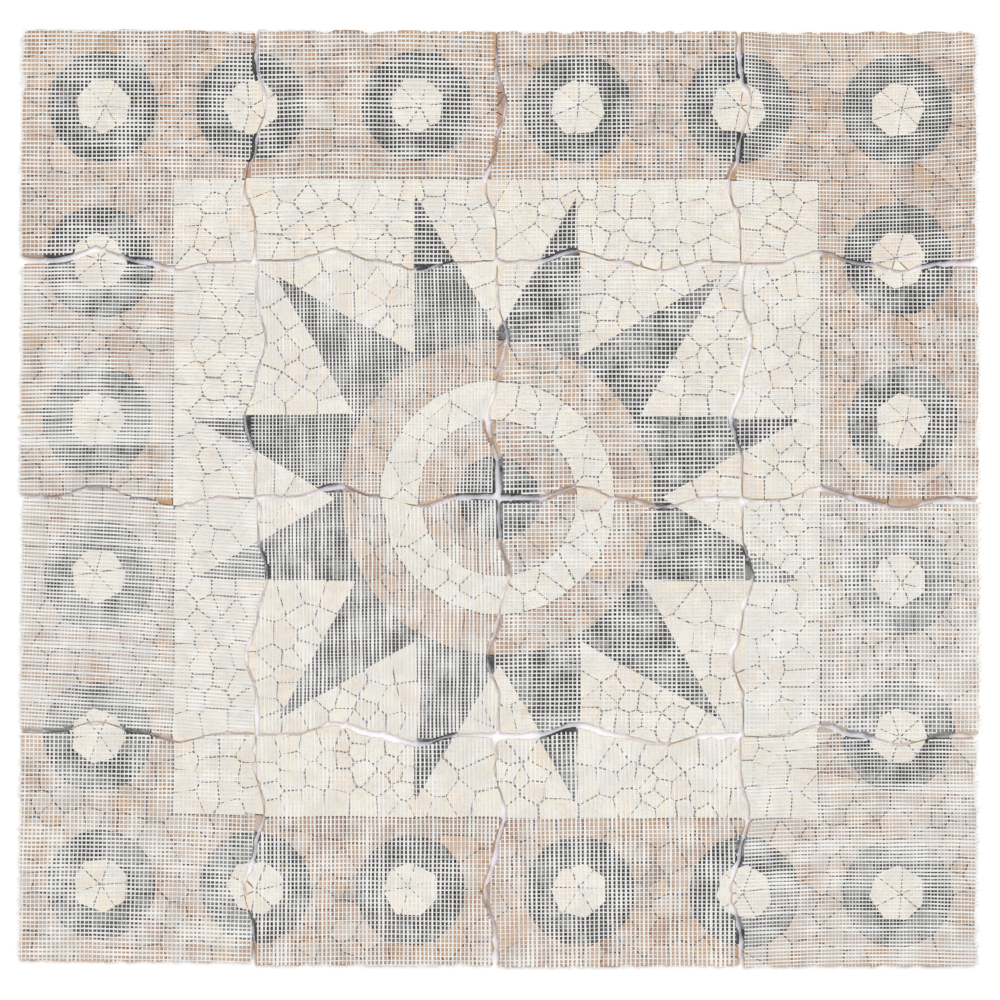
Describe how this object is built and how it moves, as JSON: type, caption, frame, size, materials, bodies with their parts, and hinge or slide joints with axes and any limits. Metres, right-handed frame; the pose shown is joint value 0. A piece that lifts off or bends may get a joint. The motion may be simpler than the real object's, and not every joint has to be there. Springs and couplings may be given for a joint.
{
  "type": "mosaic panel",
  "caption": "Square marble mosaic panel of interlocking mesh-backed mats: dark star and medallion in a cream field, with a pink border of roundels, lying net side up.",
  "frame": {"origin": "middle of the underside, where the finished faces of the stones rest", "axes": "+Z out of the net side, +X to the right and +Y up the panel as seen from the net side"},
  "size_m": [1.2046, 1.1788, 0.0089],
  "materials": {
    "pink_stone": "honed marble, unpolished back",
    "cream_stone": "honed marble, unpolished back",
    "black_stone": "honed marble, sawn grey back",
    "net": "white fibreglass mesh with dried white glue"
  },
  "bodies": {
    "root": {"border_stones_r1c1": "pink_stone", "border_stones_r1c2": "pink_stone", "border_stones_r1c3": "pink_stone", "border_stones_r1c4": "pink_stone", "border_stones_r2c1": "pink_stone", "border_stones_r2c4": "pink_stone", "border_stones_r3c1": "pink_stone", "border_stones_r3c4": "pink_stone", "border_stones_r4c1": "pink_stone", "border_stones_r4c2": "pink_stone", "border_stones_r4c3": "pink_stone", "border_stones_r4c4": "pink_stone", "centre_stones_r2c2": "black_stone", "centre_stones_r2c3": "black_stone", "centre_stones_r3c2": "black_stone", "centre_stones_r3c3": "black_stone", "field_corner_stones_r2c2": "cream_stone", "field_corner_stones_r2c3": "cream_stone", "field_corner_stones_r3c2": "cream_stone", "field_corner_stones_r3c3": "cream_stone", "field_first_wedge_stones_r2c2": "cream_stone", "field_first_wedge_stones_r2c3": "cream_stone", "field_first_wedge_stones_r3c2": "cream_stone", "field_first_wedge_stones_r3c3": "cream_stone", "field_second_wedge_stones_r2c2": "cream_stone", "field_second_wedge_stones_r2c3": "cream_stone", "field_second_wedge_stones_r3c2": "cream_stone", "field_second_wedge_stones_r3c3": "cream_stone", "medallion_stones_r2c2": "pink_stone", "medallion_stones_r2c3": "pink_stone", "medallion_stones_r3c2": "pink_stone", "medallion_stones_r3c3": "pink_stone", "net_r1c1": "net", "net_r1c2": "net", "net_r1c3": "net", "net_r1c4": "net", "net_r2c1": "net", "net_r2c2": "net", "net_r2c3": "net", "net_r2c4": "net", "net_r3c1": "net", "net_r3c2": "net", "net_r3c3": "net", "net_r3c4": "net", "net_r4c1": "net", "net_r4c2": "net", "net_r4c3": "net", "net_r4c4": "net", "star_stones_r2c2": "black_stone", "star_stones_r2c3": "black_stone", "star_stones_r3c2": "black_stone", "star_stones_r3c3": "black_stone", "star_tip_stones_r1c2": "black_stone", "star_tip_stones_r1c3": "black_stone", "star_tip_stones_r2c1": "black_stone", "star_tip_stones_r2c4": "black_stone", "star_tip_stones_r3c1": "black_stone", "star_tip_stones_r3c4": "black_stone", "star_tip_stones_r4c2": "black_stone", "star_tip_stones_r4c3": "black_stone"}
  },
  "joints": []
}
